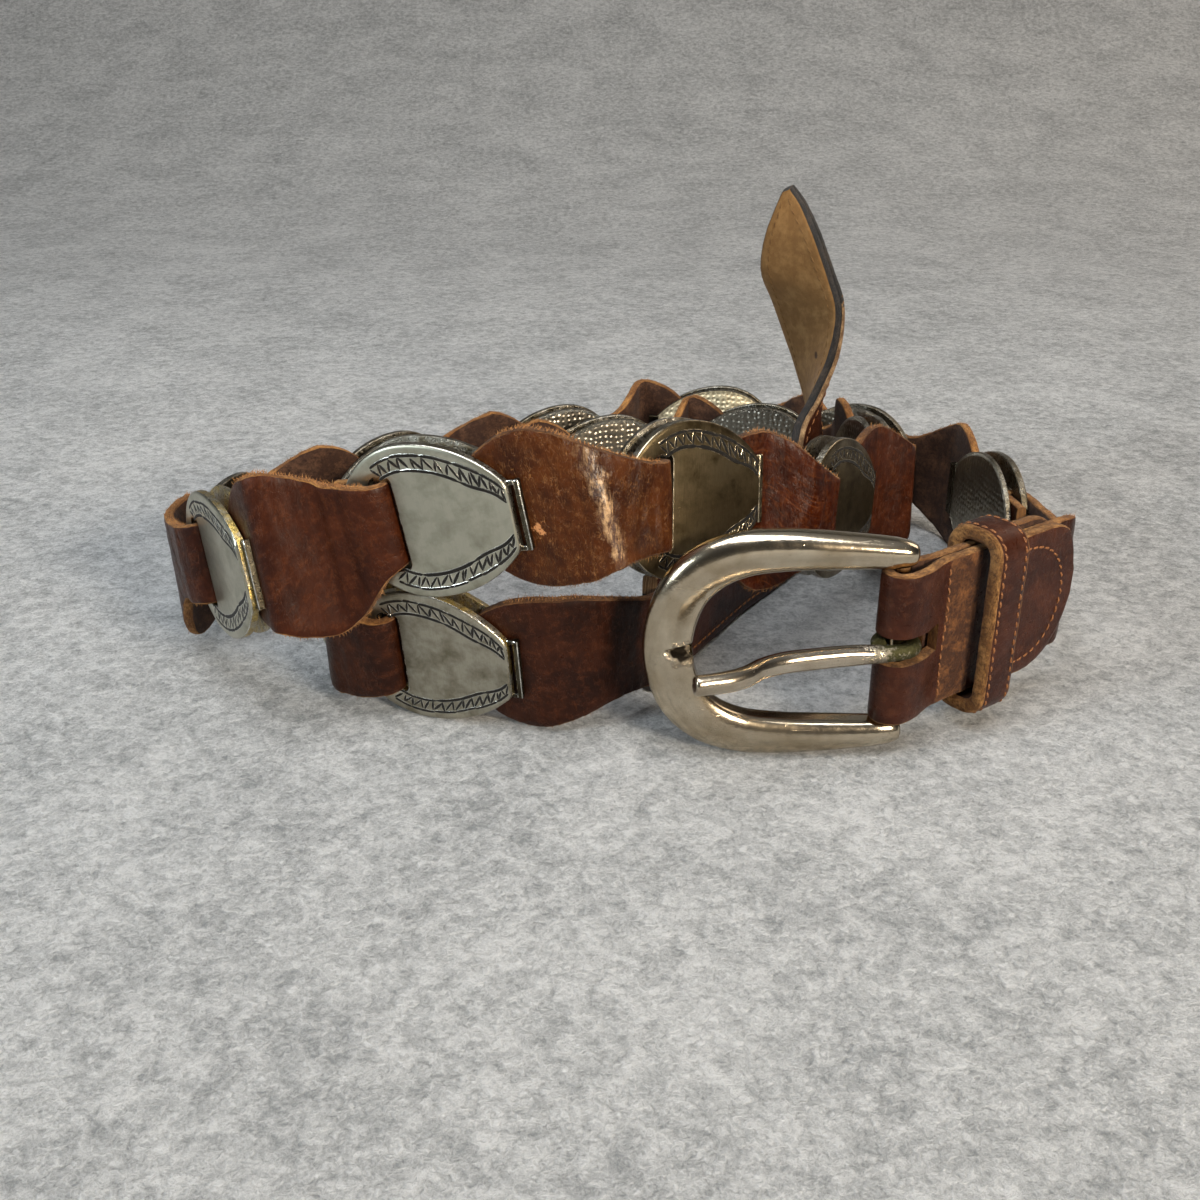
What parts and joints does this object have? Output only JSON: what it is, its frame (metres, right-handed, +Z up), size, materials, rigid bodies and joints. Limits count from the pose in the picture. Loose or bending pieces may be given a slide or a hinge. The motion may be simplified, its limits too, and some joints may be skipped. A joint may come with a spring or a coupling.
{
  "type": "belt",
  "caption": "Link belt of engraved metal plates and leather links with a horseshoe buckle, standing on its edge in a loose coil.",
  "frame": {"origin": "middle of the footprint on the floor", "axes": "+Z up, +X to the right of the buckle as it is seen from outside, +Y from the buckle towards the back of the coil"},
  "size_m": [0.1942, 0.1666, 0.0928],
  "materials": {
    "buckle_metal": "polished nickel silver, worn, with fine scratches",
    "plate_metal": "satin silver over brass, engraved, with brassy wear on the edges",
    "link_leather": "oiled reddish brown leather with a light sheen and raw tan edges",
    "strap_leather": "smooth dark brown leather, stitched in tan thread"
  },
  "bodies": {
    "belt": {"buckle_frame": "buckle_metal", "buckle_tab": "strap_leather", "keeper": "strap_leather", "link_01": "link_leather", "link_02": "link_leather", "link_03": "link_leather", "link_04": "link_leather", "link_05": "link_leather", "link_06": "link_leather", "link_07": "link_leather", "link_08": "link_leather", "link_09": "link_leather", "link_10": "link_leather", "link_11": "link_leather", "link_12": "link_leather", "link_13": "link_leather", "link_14": "link_leather", "link_15": "link_leather", "link_16": "link_leather", "link_17": "link_leather", "plate_01": "plate_metal", "plate_02": "plate_metal", "plate_03": "plate_metal", "plate_04": "plate_metal", "plate_05": "plate_metal", "plate_06": "plate_metal", "plate_07": "plate_metal", "plate_08": "plate_metal", "plate_09": "plate_metal", "plate_10": "plate_metal", "plate_11": "plate_metal", "plate_12": "plate_metal", "plate_13": "plate_metal", "plate_14": "plate_metal", "plate_15": "plate_metal", "plate_16": "plate_metal", "tip_strap": "strap_leather"},
    "tongue": {"buckle_tongue": "buckle_metal"}
  },
  "joints": [
    {"name": "tongue_hinge", "type": "hinge", "parent": "belt", "child": "tongue", "pos_m": [0.04862, -0.06537, 0.0232], "axis": [0, 0, 1], "range_deg": [-17, 135]}
  ]
}
